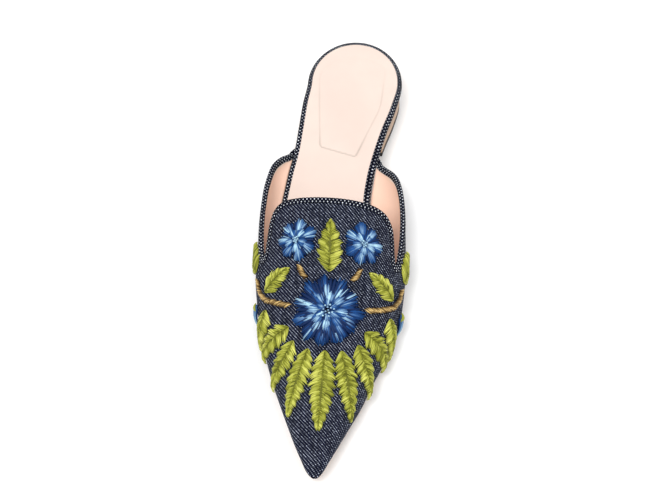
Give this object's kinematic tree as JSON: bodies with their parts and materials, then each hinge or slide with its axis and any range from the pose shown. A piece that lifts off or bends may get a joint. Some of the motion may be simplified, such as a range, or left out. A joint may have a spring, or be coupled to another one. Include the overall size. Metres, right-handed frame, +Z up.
{
  "type": "mule",
  "caption": "Backless shoe with a pointed toe, a square tab over the instep, raised embroidery and a low stacked heel.",
  "frame": {"origin": "middle of the shoe's box, on the floor that it stands on", "axes": "+Y from the toe to the heel, +X towards the big-toe side, +Z up"},
  "size_m": [0.0892, 0.279, 0.0542],
  "materials": {
    "sole_leather": "smooth tan leather, satin",
    "stacked_leather": "stacked leather lifts, polished",
    "rubber": "matt moulded rubber",
    "nude_leather": "fine smooth lining leather, satin",
    "denim": "raw indigo twill with pale weft flecks",
    "blue_thread": "satin stitch in glossy thread",
    "green_thread": "satin stitch in glossy thread",
    "stem_thread": "chain stitch in gold-brown thread"
  },
  "bodies": {
    "root": {"outsole": "sole_leather", "heel": "stacked_leather", "heel_top_piece": "rubber", "insole": "nude_leather", "upper": "denim", "footbed_band": "denim", "topline_tape": "denim", "bloom_middle": "blue_thread", "bloom_lateral": "blue_thread", "bloom_medial": "blue_thread", "bud_lateral": "blue_thread", "bud_medial": "blue_thread", "leaf_middle": "green_thread", "leaf_toe": "green_thread", "leaf_lateral_1": "green_thread", "leaf_lateral_2": "green_thread", "leaf_lateral_3": "green_thread", "leaf_lateral_4": "green_thread", "leaf_lateral_5": "green_thread", "leaf_lateral_6": "green_thread", "stem_upper_lateral": "stem_thread", "stem_outer_lateral": "stem_thread", "leaf_medial_1": "green_thread", "leaf_medial_2": "green_thread", "leaf_medial_3": "green_thread", "leaf_medial_4": "green_thread", "leaf_medial_5": "green_thread", "leaf_medial_6": "green_thread", "stem_upper_medial": "stem_thread", "stem_outer_medial": "stem_thread"}
  },
  "joints": []
}
